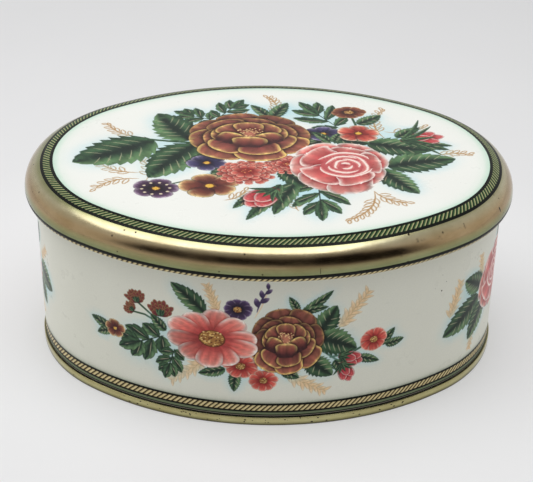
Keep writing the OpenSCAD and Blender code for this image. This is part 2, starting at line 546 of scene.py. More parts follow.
def flower(draw):
    """Makes a function that draws round 0, 0 into one that draws a flower at x, y. Every kind
    gets the seed and a random generator that starts from it."""
    def placed(canvas, x, y, radius, squash, *options, seed):
        canvas.move_to(x, y, squash)
        draw(canvas, radius, seed, np.random.default_rng(seed), *options)
        canvas.move_to(0, 0)
    return placed


def far_first(angles):
    """Angles in painting order, from the petals behind to the ones in front."""
    return angles[np.argsort(-np.sin(angles), kind="stable")]


def ring(canvas, count, reach, length, width, paint, shape, rng, start=0.0, centre=(0, 0),
         rim=None, bend=0.0, jitter=0.06, shadow=None):
    """Petals set round a circle, pointing outwards."""
    for turn in far_first(start + 2 * pi * np.arange(count) / count):
        a = turn + jitter * rng.uniform(-1, 1)
        grow = 1 + 1.2 * jitter * rng.uniform(-1, 1)
        shade = 1 + 0.1 * rng.uniform(-1, 1)
        canvas.blade(polar(centre, reach, a), a, length * grow, width * grow, shape,
                     shaded(paint, shade), bend * rng.uniform(-1, 1), rim, shadow)


def scatter(canvas, count, radius, sizes, colours, rng, centre=(0, 0)):
    """Stamens or stipple: seeded dots inside a circle."""
    for _ in range(count):
        a, r = rng.uniform(0, 2 * pi), radius * rng.random() ** 0.55
        colour = colours[rng.integers(len(colours))]
        canvas.dot(*polar(centre, r, a), rng.uniform(*sizes), colour)


@flower
def peony(canvas, radius, seed, rng):
    """Open outer petals round a cup: its back petals, the stamens, then its front petals."""
    edges = {"rim": ((44, 20, 14), 0.2, 0.85), "shadow": (0.1 * radius, (0.40, 0.30, 0.30))}
    back, front, cup, lip = (
        petal_paint(*tones, 0.12, lines, pattern, edge * radius)
        for tones, lines, pattern, edge in ((PEONY_BACK, 8, 2, 0.07), (PEONY_FRONT, 7, 5, 0.085),
                                            (PEONY_CUP, 7, 5, 0.07), (PEONY_LIP, 7, 9, 0.085)))
    for count, reach, length, width, start in ((8, 0.16, 0.84, 0.78, 0.2),
                                               (7, 0.10, 0.68, 0.68, 0.48)):
        for turn in far_first(start + 2 * pi * np.arange(count) / count):
            a = turn + 0.08 * rng.uniform(-1, 1)
            grow = radius * rng.uniform(0.94, 1.06)
            paint = shaded(front if sin(turn) < -0.1 else back, rng.uniform(0.88, 1.1))
            canvas.blade(polar((0, 0), reach * radius, a), a, length * grow, width * grow,
                         wavy_shape(0.72, 0.45, 2, 0.05, count), paint, 0.1 * rng.uniform(-1, 1),
                         **edges)
    for turn in (0.1, 3.04, 0.8, 2.34, 1.57):
        canvas.blade((0.12 * radius * cos(turn), 0.06 * radius), turn, 0.5 * radius, 0.5 * radius,
                     wavy_shape(0.7, 0.5, 1, 0.05, turn), cup, 0.05, **edges)
    middle = (0, 0.08 * radius)
    canvas.dot(*middle, 0.25 * radius, (92, 34, 26), 0.95)
    for k in range(70):
        tip = polar(middle, radius * rng.uniform(0.08, 0.25), 2.4 * k)
        canvas.stroke([middle, tip], 0.3, (206, 132, 104), 0.6)
        canvas.dot(*tip, 0.01 * radius + 0.12, (248, 212, 150))
    for x, y, turn, size in ((-0.42, -0.26, 1.05, 0.46), (0.42, -0.26, 2.09, 0.46),
                             (0.0, -0.46, 1.57, 0.58)):
        canvas.blade((x * radius, y * radius), turn, 0.42 * radius, size * radius,
                     wavy_shape(0.72, 0.6, 1, 0.05, x), lip, **edges)


@flower
def rose(canvas, radius, seed, rng):
    """Broad outer petals round a cup of narrow, pale-edged folds."""
    for count, reach, length, lift, tones, start in ((7, 0.10, 0.90, 0.0, ROSE, 0.4),
                                                     (5, 0.12, 0.70, 0.03, ROSE_DEEP, 0.1)):
        ring(canvas, count, reach * radius, length * radius, 0.84 * radius,
             petal_paint(*tones, 0.08, 6, count, 0.1 * radius),
             wavy_shape(0.76, 0.45, 2, 0.06, count), rng, start, (0, lift * radius),
             ((255, 246, 238), 0.02 * radius, 0.9), 0.15, 0.1, (0.12 * radius, ROSE_SHADE))
    heart = (0.05 * radius, 0.05 * radius)
    canvas.dot(*heart, 0.5 * radius, (194, 90, 92))
    for k in range(9):
        r = radius * (0.56 - 0.058 * k)
        first = 2.3 * k + rng.uniform(0, 1)
        swell = rng.uniform(0.05, 0.14)
        fold = np.array([(heart[0] + r * (1 + swell * sin(3 * t)) * cos(first + t),
                          heart[1] + 0.9 * r * sin(first + t))
                         for t in np.linspace(0, rng.uniform(1.9, 2.8), 12)])
        for grow, width, colour, cover in ((0.95, 0.15, (180, 62, 72), 0.75),
                                           (1.0, 0.13, (220, 128, 122), 0.9),
                                           (1.04, 0.055, (255, 240, 230), 0.95)):
            canvas.stroke(fold * grow, width * radius, colour, cover)
    canvas.dot(*heart, 0.05 * radius, (168, 44, 56), 0.9)


@flower
def zinnia(canvas, radius, seed, rng):
    middle = (0, 0.1 * radius)
    canvas.dot(0, 0, 0.72 * radius, (146, 50, 46))
    for k, reach in enumerate((0.70, 0.52, 0.35, 0.19)):
        ring(canvas, 17 - 3 * k, reach * radius, 0.34 * radius, 0.30 * radius,
             petal_paint(*ZINNIA, 0.05, seed=k, rim_width=0.7), petal_shape(0.6), rng, 0.35 * k,
             (0, 0.03 * k * radius), ((132, 34, 32), 0.12, 0.75), jitter=0.08,
             shadow=(0.06 * radius, (0.75, 0.45, 0.45)) if k else None)
    canvas.dot(*middle, 0.2 * radius, (150, 52, 42))
    scatter(canvas, 34, 0.17 * radius, (0.16, 0.34),
            ((246, 186, 120), (112, 34, 28), (214, 104, 76)), rng, middle)


@flower
def daisy(canvas, radius, seed, rng, petals=9, tones=DAISY_CORAL):
    ring(canvas, petals, 0.16 * radius, 0.84 * radius, 5.9 / petals * radius,
         petal_paint(*tones, 0.06, 10, petals, 0.13 * radius),
         wavy_shape(0.72, 0.42, 1, 0.04, seed), rng, 0.2, rim=(tones[1], 0.14, 0.6), bend=0.06,
         shadow=(0.06 * radius, (0.8, 0.6, 0.6)))
    middle = (0, 0.01 * radius)
    canvas.dot(0, 0, 0.29 * radius, (104, 52, 28))
    canvas.dot(*middle, 0.26 * radius, (176, 126, 66), 0.9)
    size = 0.014 * radius + 0.1
    scatter(canvas, 90, 0.27 * radius, (0.7 * size, 1.3 * size),
            ((226, 184, 104), (246, 216, 146), (124, 70, 34), (86, 42, 22)), rng, middle)


@flower
def five_petal(canvas, radius, seed, rng, tones, start=0.3, dots=0):
    edge = tuple(0.55 * c for c in tones[0])
    ring(canvas, 5, 0.1 * radius, 0.9 * radius, 0.92 * radius,
         petal_paint(*tones, 0.1, 9, seed, 0.17 * radius), petal_shape(0.66, 0.35), rng, start,
         rim=(edge, 0.13, 0.8), bend=0.1, shadow=(0.05 * radius, (0.5, 0.4, 0.4)))
    for k in range(dots):
        canvas.dot(*polar((0, 0), 0.6 * radius, start + 2 * pi * k / dots), 0.07 * radius,
                   (240, 226, 190), 0.9)
    canvas.dot(0, 0, 0.2 * radius, (92, 48, 22))
    canvas.dot(0, 0, 0.14 * radius, (236, 186, 74))
    scatter(canvas, 12, 0.2 * radius, (0.12, 0.24), ((252, 224, 130), (150, 84, 34)), rng)


# ---------------------------------------------------------------- printed plates

BLOCKS = (16, 8, 4, 2)      # sizes of a plate's larger cells, in steps of its finest grid
EXTRA_TRIANGLES = 1.12      # cells with finer neighbours have a few more triangles


def block_errors(colours, n):
    """How far the colours inside each block of n cells are from a blend of its corners."""
    c00, c10 = colours[:-1:n, :-1:n], colours[n::n, :-1:n]
    c01, c11 = colours[:-1:n, n::n], colours[n::n, n::n]
    rows, cols = c00.shape[:2]
    worst = np.zeros((rows, cols))
    for a in range(n + 1):
        for b in range(n + 1):
            u, v = a / n, b / n
            guess = (c00 * (1 - u) + c10 * u) * (1 - v) + (c01 * (1 - u) + c11 * u) * v
            here = colours[a:a + n * (rows - 1) + 1:n, b:b + n * (cols - 1) + 1:n]
            worst = np.maximum(worst, np.abs(here - guess).max(-1))
    return worst


def worst_inside(errors):
    """A block is at least as bad as the worst block inside it."""
    for small, big in zip(BLOCKS[::-1], BLOCKS[-2::-1]):
        e = errors[small]
        inner = e.reshape(e.shape[0] // 2, 2, e.shape[1] // 2, 2).max((1, 3))
        errors[big] = np.maximum(errors[big], inner)
    return errors


def cells_for(errors, tolerance):
    """Cells of a quadtree: for each size, the rows and columns of their first corners."""
    found, open_cells = {}, np.ones(errors[BLOCKS[0]].shape, bool)
    for n in BLOCKS:
        split = open_cells & (errors[n] > tolerance)
        found[n] = np.argwhere(open_cells & ~split) * n
        open_cells = np.repeat(np.repeat(split, 2, 0), 2, 1)
    found[1] = np.argwhere(open_cells)
    return found


def cells_within(errors, budget):
    """The finest quadtree that stays within about this many triangles. The search closes in on
    the colour difference that its cells may hide."""
    low, high = 2.0, 120.0
    for _ in range(12):
        tolerance = (low * high) ** 0.5
        cells = cells_for(errors, tolerance).values()
        triangles = sum(2 * len(corners) for corners in cells) * EXTRA_TRIANGLES
        low, high = (tolerance, high) if triangles > budget else (low, tolerance)
    return cells_for(errors, high)


def mark_used(cells, shape):
    used = np.zeros(shape, bool)
    for n, corners in cells.items():
        for dj, di in ((0, 0), (0, n), (n, 0), (n, n)):
            used[corners[:, 0] + dj, corners[:, 1] + di] = True
    return used


def walk_round(j, i, rows, columns, used):
    """The used grid points on the edge of a rectangle."""
    walk = ([(j, i + k) for k in range(columns)] + [(j + k, i + columns) for k in range(rows)]
            + [(j + rows, i + columns - k) for k in range(columns)]
            + [(j + rows - k, i) for k in range(rows)])
    return [p for p in walk if used[p]]


def outlines_of(cells, used, index):
    """Corner lists of the cells, with the finer points that lie on their edges."""
    return [[index[p] for p in walk_round(j, i, n, n, used)]
            for n, corners in cells.items() for j, i in corners]


def plate(name, canvas, columns, rows, locate, budget):
    """A thin printed sheet. Its mesh is finest where the picture has detail. locate(a, b)
    gives points, outward normals and the place on the canvas, for a and b from 0 to 1."""
    a, b = np.meshgrid(np.linspace(0, 1, columns + 1), np.linspace(0, 1, rows + 1))
    points, normals, (px, py) = locate(a, b)
    colours = canvas.read(px, py)
    errors = worst_inside({n: block_errors(colours, n) for n in BLOCKS})
    cells = cells_within(errors, budget)
    coarse = {BLOCKS[0]: np.argwhere(np.ones_like(errors[BLOCKS[0]])) * BLOCKS[0]}
    border = np.ones(a.shape, bool)
    border[1:-1, 1:-1] = False
    used = mark_used(cells, a.shape)
    used_below = mark_used(coarse, a.shape) | (used & border)
    top_index = np.cumsum(used).reshape(a.shape) - 1
    low_index = np.cumsum(used_below).reshape(a.shape) - 1 + used.sum()
    top = outlines_of(cells, used, top_index)
    bottom = [face[::-1] for face in outlines_of(coarse, used_below, low_index)]
    loop = walk_round(0, 0, rows, columns, used)
    sides = [(top_index[q], top_index[p], low_index[p], low_index[q])
             for p, q in zip(loop, loop[1:] + loop[:1])]
    verts = np.concatenate([points[used], (points - normals * SKIN)[used_below]])
    obj = make_object(name, verts, top + bottom + sides)
    add_layer(obj, "paint", "POINT", linear(np.concatenate([colours[used], colours[used_below]])))
    follow_curve(obj, np.concatenate(top), normals[used])
    return obj


def follow_curve(obj, corners, normals):
    """The printed face follows the exact curve, whatever the sizes of its cells."""
    custom = np.zeros((len(obj.data.loops), 3))
    custom[:len(corners)] = normals[corners]
    obj.data.normals_split_custom_set(custom.tolist())


# ---------------------------------------------------------------- materials

def rgba(shade):
    return (*linear(shade), 1) if isinstance(shade, tuple) else (shade, shade, shade, 1)


class Nodes:
    """Short calls for making and joining the shader nodes of a material or a world."""

    def __init__(self, owner, shader="Principled BSDF", **inputs):
        owner.use_nodes = True
        self.owner, self.tree = owner, owner.node_tree
        self.shader = self.tree.nodes[shader]
        for name, value in inputs.items():
            self.shader.inputs[name.replace("_", " ")].default_value = value

    def feed(self, socket, value):
        if isinstance(value, bpy.types.NodeSocket):
            self.tree.links.new(value, socket)
        else:
            socket.default_value = value

    def add(self, kind, inputs, **settings):
        """A new node. inputs gives values or sockets by the input's name or number."""
        node = self.tree.nodes.new("ShaderNode" + kind)
        for name, value in settings.items():
            setattr(node, name, value)
        for key, value in inputs.items():
            self.feed(node.inputs[key], value)
        return node

    def math(self, operation, *values):
        return self.add("Math", dict(enumerate(values)), operation=operation).outputs[0]

    def split(self, vector):
        return self.add("SeparateXYZ", {0: vector}).outputs

    def attribute(self, name):
        return self.add("Attribute", {}, attribute_name=name).outputs["Vector"]

    def place(self, stretch=(1, 1, 1)):
        coords = self.add("TexCoord", {})
        return self.add("Mapping", {0: coords.outputs["Object"], "Scale": stretch}).outputs[0]

    def noise(self, size_mm, detail, stretch=(1, 1, 1)):
        return self.add("TexNoise", {0: self.place(stretch), "Scale": 1000 / size_mm,
                                     "Detail": detail, "Roughness": 0.55}).outputs["Fac"]

    def cells(self, size_mm):
        return self.add("TexVoronoi", {0: self.place(), "Scale": 1000 / size_mm}).outputs

    def ramp(self, value, *stops):
        """stops: (position, shade) pairs. A shade is a number or an sRGB colour."""
        node = self.add("ValToRGB", {0: value})
        elements = node.color_ramp.elements
        while len(elements) < len(stops):
            elements.new(0.5)
        for element, (at, shade) in zip(elements, stops):
            element.position, element.color = at, rgba(shade)
        return node.outputs["Color"]

    def cloud(self, size_mm, detail, low, high, stretch=(1, 1, 1), full=0.7):
        """Patches that vary from one shade to another."""
        return self.ramp(self.noise(size_mm, detail, stretch), (0.3, low), (full, high))

    def wobble(self, size_mm, reach):
        """Noise either side of nought."""
        return self.math("MULTIPLY", self.math("SUBTRACT", self.noise(size_mm, 2), 0.5), reach)

    def blend(self, factor, a, b, how="MIX"):
        a, b = (rgba(shade) if isinstance(shade, tuple) else shade for shade in (a, b))
        return self.add("Mix", {"Factor": factor, 6: a, 7: b}, data_type="RGBA",
                        blend_type=how).outputs[2]

    def times(self, a, b):
        return self.blend(1.0, a, b, "MULTIPLY")

    def worn(self, colour, amount, dark=(58, 48, 34)):
        """Clusters of small dark pits of mixed sizes, as on an old tin."""
        pits = self.cells(2.6)
        size = self.math("MULTIPLY", self.math("POWER", self.split(pits["Color"])[0], 2.0), 0.2)
        pit = self.math("LESS_THAN", pits["Distance"], size)
        cluster = self.ramp(self.noise(22, 2), (0.62 - 0.14 * amount, 0.0),
                            (0.66 - 0.14 * amount, 1.0))
        return self.blend(self.math("MULTIPLY", pit, cluster), colour, dark)

    def finish(self, colour, bump, rough=None):
        """Joins the shader up and returns the material. bump: depth, noise size and detail.
        rough: noise size and detail, low and high. Both may end in the noise's stretch."""
        depth, *noise = bump
        height = self.add("Bump", {"Distance": depth * MM, "Strength": 1.0,
                                   "Height": self.noise(*noise)})
        self.feed(self.shader.inputs["Base Color"], colour)
        self.feed(self.shader.inputs["Normal"], height.outputs[0])
        if rough:
            self.feed(self.shader.inputs["Roughness"], self.cloud(*rough, full=0.75))
        return self.owner


def new_material(name, roughness, **inputs):
    return Nodes(bpy.data.materials.new(name), Roughness=roughness, **inputs)


ROPE_STRANDS = 250          # round the whole tin
BLACK_GREEN = (10, 14, 8)
PRINT_BUMP = (0.004, 1.3, 3)    # as Nodes.finish takes it


def printed_material():
    n = new_material("printed_sheet", 0.3, Specular_IOR_Level=0.2)
    shade = n.times(n.cloud(0.5, 2, 0.955, 1.0), n.cloud(34, 3, 0.975, 1.0))
    return n.finish(n.worn(n.times(n.attribute("paint"), shade), -0.6), PRINT_BUMP,
                    (9, 4, 0.26, 0.38))


def border_material(name, marks, strand, lean, stripes=()):
    """Printed twisted rope on a black ground. marks are where the rope starts and ends across
    the band, in mm. strand is the shading across one strand. Stripes are (from, to, colour)."""
    n = new_material(name, 0.32, Specular_IOR_Level=0.12)
    along, across, _ = n.split(n.attribute("band"))

    def off_middle(start, end):
        """The distance from the middle of a stripe, as a part of its half width."""
        offset = n.math("SUBTRACT", across, (start + end) / 2)
        return offset, n.math("DIVIDE", n.math("ABSOLUTE", offset), (end - start) / 2)
    offset, share = off_middle(*marks)
    turns = n.math("MULTIPLY", along, ROPE_STRANDS / outline.length)
    slant = n.math("MULTIPLY", offset, lean / (marks[1] - marks[0]))
    phase = n.math("FRACT", n.math("ADD", n.math("ADD", turns, slant), n.wobble(2.6, 0.2)))
    uneven = n.ramp(n.noise(1.1, 3), (0.25, 0.8), (0.6, 1.0))
    inside = n.ramp(share, (0.86, 1.0), (1.0, 0.0))
    colour = n.blend(n.math("MULTIPLY", inside, uneven), BLACK_GREEN, n.ramp(phase, *strand))
    for start, end, shade in stripes:
        _, share = off_middle(start, end)
        colour = n.blend(n.ramp(share, (0.75, 1.0), (1.0, 0.0)), colour, shade)
    return n.finish(n.worn(colour, 0.1), PRINT_BUMP, (8, 3, 0.27, 0.4))


def gold_material(name, stops, scars):
    """Tinted lacquer over tin. stops give the tint along the section, in mm; lighter and darker
    stops there also serve as painted highlight and painted shade. scars are worn
    spots: place round the tin, place along the section, half length and half width."""
    n = new_material(name, 0.2, Metallic=1.0, Coat_Weight=0.25, Coat_Roughness=0.12)
    parts = n.split(n.attribute("band"))
    longest = stops[-1][0]
    # This ramp carries the callers' painted highlight and painted shade along with the lacquer's
    # tint.
    tint = n.ramp(n.math("DIVIDE", parts[1], longest), *((at / longest, c) for at, c in stops))
    cloud = n.cloud(16, 4, (232, 226, 214), (255, 255, 255), (1, 1, 2.5))
    grain = n.cloud(0.7, 2, 0.93, 1.0, (0.3, 0.3, 1))
    colour = n.worn(n.times(n.times(tint, cloud), grain), 1.0, (52, 38, 22))
    ragged = n.wobble(0.8, 1.2)
    for along, across, half_long, half_wide in scars:
        far = [n.math("DIVIDE", n.math("SUBTRACT", parts[k], centre), half)
               for k, centre, half in ((0, along, half_wide), (1, across, half_long))]
        far = n.math("ADD", *(n.math("MULTIPLY", x, x) for x in far))
        mark = n.math("LESS_THAN", n.math("ADD", far, ragged), 0.8)
        colour = n.blend(mark, colour, (40, 28, 18))
    return n.finish(colour, (0.01, 1.0, 5, (0.6, 0.6, 1)), (5, 4, 0.16, 0.28, (0.4, 0.4, 1)))


def tinplate_material():
    n = new_material("tinplate_bare", 0.34, Metallic=1.0)
    streaks = n.cloud(3.0, 4, (176, 174, 166), (206, 204, 196), (0.25, 1, 1))
    spangle = n.ramp(n.cells(7)["Color"], (0.2, 0.92), (0.8, 1.0))
    return n.finish(n.worn(n.times(streaks, spangle), 1.0, (96, 72, 48)),
                    (0.006, 0.9, 3, (0.3, 1, 1)), (6, 4, 0.28, 0.46))


def enamel_material():
    n = new_material("white_enamel_coat", 0.34, Specular_IOR_Level=0.3)
    return n.finish(n.worn(n.cloud(12, 4, (230, 229, 214), (240, 239, 226)), 0.5),
                    (0.005, 1.3, 3), (7, 3, 0.3, 0.42))


# ---------------------------------------------------------------- the bouquets

PANEL_WHITE, WALL_WHITE = (243, 244, 238), (236, 236, 222)
GOLD_LINE = (184, 144, 96)
SKY, MINT, FOOT_GREEN = (176, 222, 232), (196, 226, 206), (104, 116, 92)


def leaves(canvas, haze, lobed, *plain):
    """Rows: root x, root y, tip x, tip y, width. They lie on a pale blue haze."""
    for x0, y0, x1, y1, width in (*lobed, *plain):
        length, angle = aim((x0, y0), (x1, y1))
        canvas.glow((x0 + x1) / 2, (y0 + y1) / 2, 0.5 * length + 2.2, 0.5 * width + 1.8, SKY,
                    haze, angle)
    for k, (x0, y0, x1, y1, width) in enumerate(lobed):
        lobed_leaf(canvas, (x0, y0), (x1, y1), width, k)
    for k, (x0, y0, x1, y1, width) in enumerate(plain):
        leaf(canvas, (x0, y0), (x1, y1), width, 0.1 * (-1) ** k, 5 if width > 12 else 3, k)


def sprigs(canvas, *rows):
    """Rows: root x, root y, tip x, tip y, pairs of leaflets."""
    for k, (x0, y0, x1, y1, pairs) in enumerate(rows):
        sprig(canvas, (x0, y0), (x1, y1), 2 * pairs + 1, 5.6, 0.16 * (-1) ** k, GOLD_LINE)


def glows(canvas, strength, *rows):
    for row in rows:
        canvas.glow(*row, SKY, strength)


def ears(canvas, *rows):
    for x0, y0, x1, y1 in rows:
        wheat(canvas, (x0, y0), (x1, y1))


def stems(canvas, *rows):
    for width, *points in rows:
        stem(canvas, points, width)


def flowers(canvas, seed, *rows):
    """Rows: the kind of flower and its arguments. Each row has the next seed."""
    for k, (kind, *options) in enumerate(rows):
        kind(canvas, *options, seed=seed + k)


def edge_fade(canvas, area, inside, colour, strength, reach):
    """A speckled tint that fades in from the edge of a picture."""
    cover = strength * np.exp(-np.clip(inside, 0, 99) / reach) * (0.7 + 0.6 * canvas.grain[area])
    canvas.lay(area, colour, np.clip(cover, 0, 1))


def panel_fade(canvas):
    area, gx, gy = canvas.window(-HALF_L, HALF_L, -HALF_W, HALF_W)
    edge = outline.radius_towards(np.arctan2(gy, gx), -PANEL_EDGE)
    edge_fade(canvas, area, edge - np.hypot(gx, gy), MINT, 1.0, 1.7)


def wall_fade(canvas):
    area, _, z = canvas.window(-FRONT_HALF - 1, FRONT_HALF + 1, PRINT_LOW - 1, PRINT_LOW + 6)
    edge_fade(canvas, area, z - PRINT_LOW, FOOT_GREEN, 0.62, 0.9)


def paint_lid(canvas):
    panel_fade(canvas)
    glows(canvas, 0.5, (-45, 6, 16, 20), (0, 44, 26, 12), (48, 20, 20, 20), (16, -30, 26, 16))
    sprigs(canvas, (-60, 17, -79, 31, 5), (-57, -26, -64, -2, 4), (-60, -18, -80, -8, 4),
           (-60, -24, -79, -34, 4), (46, -33, 33, -59, 7), (46, -33, 60, -43, 4),
           (55, 18, 56, 50, 7), (55, 26, 74, 32, 5), (76, 0, 93, 3, 4), (1, 42, -2, 63, 6),
           (-13, 40, -14, 50, 3), (-21, -43, -12, -34, 3), (12, -52, 12, -42, 3))
    leaves(canvas, 0.6, ((-28, 36, -48, 46, 17), (-26, 39, -14, 60, 17), (33, 29, 14, 58, 20),
                         (21, -24, 22, -60, 20)),
           (-1, 40, -10, 54, 7), (1, 40, 8, 57, 9), (42, 34, 54, 44, 9), (-38, 15, -56, 43, 23),
           (-36, 10, -56, -23, 25), (-56, 14, -92, -9, 30), (46, 14, 76, 7, 19),
           (54, -10, 86, -1, 20), (50, -12, 66, -35, 15), (60, 20, 72, 31, 8),
           (62, 18, 86, 12, 7), (64, 14, 84, 8, 7), (12, -24, 1, -55, 11), (4, -28, -11, -60, 9),
           (-4, -34, -17, -50, 7), (26, 24, 18, 6, 13), (28, 20, 47, 13, 12),
           (4, -14, 15, -30, 12), (-20, -12, -27, -24, 10), (-26, 2, -40, -8, 8))
    stems(canvas, (1.4, (-36, 12), (-46, 13), (-58, 15)), (1.0, (42, 26), (41, 34), (39, 45)),
          (0.7, (-28, -30), (-38, -25), (-50, -31)))
    flowers(canvas, 21, (five_petal, 25, 23, 9, 0.85, VIOLET))
    leaves(canvas, 0, (), (28, 15, 20, 25, 6), (30, 15, 33, 24, 6))
    flowers(canvas, 22, (five_petal, -30, -8, 9.5, 0.85, VIOLET, 0.9),
            (five_petal, -52, -33, 10.5, 0.85, PLUM, 0.1, 10),
            (five_petal, -28, -30, 13.5, 0.85, BROWN, 0.6),
            (daisy, 38.5, 47, 8.5, 0.8, 8, DAISY_BROWN),
            (five_petal, 42, 24, 10.5, 0.85, RED, 0.2), (rosebud, (62, 17), (83, 22), 9, 1.1),
            (rosebud, (2, -32), (-11, -48), 13), (zinnia, -11.5, -17, 13.5, 0.85),
            (zinnia, 7, -9, 10.5, 0.85), (peony, -10.5, 20, 30, 0.86), (rose, 33, -10, 22.5, 1.05))


def paint_front(canvas):
    paint_end(canvas, outline.length / 4)
    glows(canvas, 0.35, (-46, 40, 16, 12), (10, 46, 20, 22), (-10, 30, 18, 9), (36, 36, 12, 9))
    ears(canvas, (31, 51, 45, 69), (-22, 60, -27, 74), (-28, 33, -45, 19), (8, 28, 27, 17))
    stems(canvas, (0.7, (-46, 48), (-53, 53), (-60, 58)), (0.7, (-46, 48), (-56, 52), (-63, 52)),
          (0.8, (28, 36), (38, 37), (47, 42)), (0.7, (24, 40), (31, 34), (36, 27)),
          (0.8, (-60, 37), (-66, 38), (-71, 39)))
    leaves(canvas, 0.4, ((-47, 43, -70, 31, 24), (-42, 37, -47, 20, 16)), (-28, 59, -43, 72, 10),
           (-46, 46, -53, 53, 6), (22, 49, 30, 63, 12), (22, 47, 40, 39, 15), (18, 36, 29, 26, 12),
           (6, 30, 14, 26, 6), (14, 60, 28, 71, 5), (15, 61, 26, 63, 4), (13, 61, 9, 69, 4),
           (-19, 30, -31, 26, 6), (-14, 29, -15, 18, 6), (-74, 39, -85, 42, 6),
           (-74, 38, -82, 34, 5), (52, 38, 58, 46, 5), (54, 38, 63, 39, 5), (40, 34, 51, 30, 5),
           (30, 34, 35, 27, 6))
    canvas.stroke([(-6, 58), (-3, 64), (0, 73)], 0.6, (238, 214, 178))
    sprig(canvas, (-5, 61), (0, 73), 5, 5.0, 0.05, (66, 52, 88), True)
    flowers(canvas, 38, (tuft, -60.5, 60, 4.0, 1.9), (tuft, -63.5, 53.5, 3.0, 2.6),
            (tuft, -48.5, 56.5, 4.8, 1.6), (five_petal, -72, 39.4, 5.6, 0.85, BROWN),
            (daisy, -13.4, 62, 6.4, 0.85, 9, DAISY_VIOLET),
            (daisy, -12, 32, 7.8, 0.85, 9, DAISY_RED),
            (daisy, -1.8, 24.6, 6.4, 0.9, 10, DAISY_RED), (daisy, 48, 42, 6.4, 0.95, 7, DAISY_RED),
            (rosebud, (32, 36), (43, 31.5), 6.4), (rosebud, (33, 32), (37.5, 21.5), 6.0),
            (peony, 8, 45.5, 17, 1.04), (daisy, -24.8, 45.5, 21, 0.74, 10))


def paint_end(canvas, middle=0.0):
    """The spray on a rounded end. Its outer leaves run on to the sides."""
    canvas.move_all(middle)
    glows(canvas, 0.35, (-44, 42, 20, 16), (-22, 46, 20, 18), (6, 42, 22, 14), (28, 42, 14, 12))
    ears(canvas, (-63, 40, -57, 59), (-40, 52, -42, 66), (-44, 28, -46, 15), (26, 50, 36, 60),
         (12, 28, 24, 18))
    leaves(canvas, 0.6, (), (-40, 48, -54, 57, 13), (-42, 44, -66, 31, 16), (-36, 38, -48, 22, 14),
           (24, 46, 41, 40, 14), (22, 40, 31, 27, 12), (-14, 58, -20, 71, 9), (-8, 34, -4, 21, 9),
           (16, 54, 24, 68, 9))
    flowers(canvas, 52, (daisy, 11, 42, 12, 0.85), (five_petal, 2, 59, 6, 0.85, VIOLET),
            (five_petal, -3, 28, 6, 0.85, RED), (five_petal, -1, 44, 8, 0.85, BROWN))
    flowers(canvas, 51, (rose, -23, 47, 17.5, 1.05))
    canvas.move_all(0.0)


LEFT_SPRAY = -5.0           # how far the left end's spray sits off-centre


def paint_left(canvas):
    paint_end(canvas, LEFT_SPRAY)


def paint_back(canvas):
    """Two small sprays, one each side of the seam."""
    paint_end(canvas, outline.length / 4 + LEFT_SPRAY)
    for x, largest in ((-48, (peony, 0, 46, 14, 0.95)), (44, (daisy, 0, 46, 15, 0.8))):
        canvas.move_all(x)
        glows(canvas, 0.35, (0, 46, 22, 16))
        ears(canvas, (8, 54, 18, 66), (-8, 34, -20, 24))
        leaves(canvas, 0.6, (), (-8, 48, -27, 56, 13), (-8, 42, -28, 38, 13), (8, 44, 28, 50, 13),
               (8, 40, 25, 31, 12), (-2, 56, -8, 69, 8), (4, 34, 8, 21, 9))
        flowers(canvas, 61, (five_petal, 14, 54, 6.5, 0.85, VIOLET),
                (five_petal, -13, 34, 6.5, 0.85, RED))
        flowers(canvas, 63 if x < 0 else 64, largest)
    canvas.move_all(0.0)


WALL_PICTURES = {"front": paint_front, "back": paint_back, "left": paint_left, "right": paint_end}


# ---------------------------------------------------------------- pieces

EDGE_TOP_SLOPE = 88.0
PRINT_END_SLOPE = SHOULDER_SLOPE + 6
RISE = 14                   # degrees over which the metal comes up past the print
CURL_START, CURL_END = UNDER_SLOPE + 12, UNDER_SLOPE + 300
HEM_R = 1.1                 # roll at the top of the wall
HIDDEN_SPANS = 12           # the part of that roll that is inside
SHOULDER_BAND = 6.1         # width of the lid's rope border
SEAM_RIDGE = 0.14           # how far the seam shows outside the wall

# Columns and rows of the prints' finest grids, in whole numbers of the largest block.
LONG_COLUMNS, END_COLUMNS, WALL_ROWS = 1024, 576, 416
LID_COLUMNS, LID_ROWS = 1024, 768
MARGIN = 1                  # how far the wall's canvases reach past the prints

GOLD_GREEN, GOLD_TAN = (158, 160, 116), (189, 164, 125)
LID_STRAND = ((0.0, BLACK_GREEN), (0.1, BLACK_GREEN), (0.2, (44, 78, 44)), (0.46, (70, 100, 62)),
              (0.58, (154, 156, 110)), (0.76, (190, 186, 138)), (0.86, (60, 84, 44)),
              (0.95, BLACK_GREEN))
WALL_STRAND = ((0.0, BLACK_GREEN), (0.08, (40, 34, 18)), (0.2, (150, 128, 82)),
               (0.42, (226, 210, 156)), (0.7, (232, 216, 166)), (0.86, (130, 108, 66)),
               (0.96, BLACK_GREEN))


def skin_section(points):
    """A band of print: the outer line, closed by the same line a skin's depth inside."""
    points = np.asarray(points, float)
    along = np.gradient(points, axis=0)
    along /= np.hypot(*along.T)[:, None]
    inner = points - SKIN * np.stack([-along[:, 1], along[:, 0]], -1)
    return np.concatenate([points, inner[::-1]])


def mark_faces(obj, spans, is_second):
    """Gives the faces whose section span passes the test the second material. The two end
    caps of an open section go with its first and last spans."""
    polygons = obj.data.polygons
    swept_faces = len(polygons) // spans * spans
    for k, polygon in enumerate(polygons):
        span = k % spans if k < swept_faces else (k - swept_faces) * (spans - 1)
        polygon.material_index = int(is_second(span))


def inwards(z, out_from):
    """Section points that carry a flat sheet towards the middle."""
    return [(out, z) for out in np.linspace(out_from, -HALF_W * 0.7, 5)]


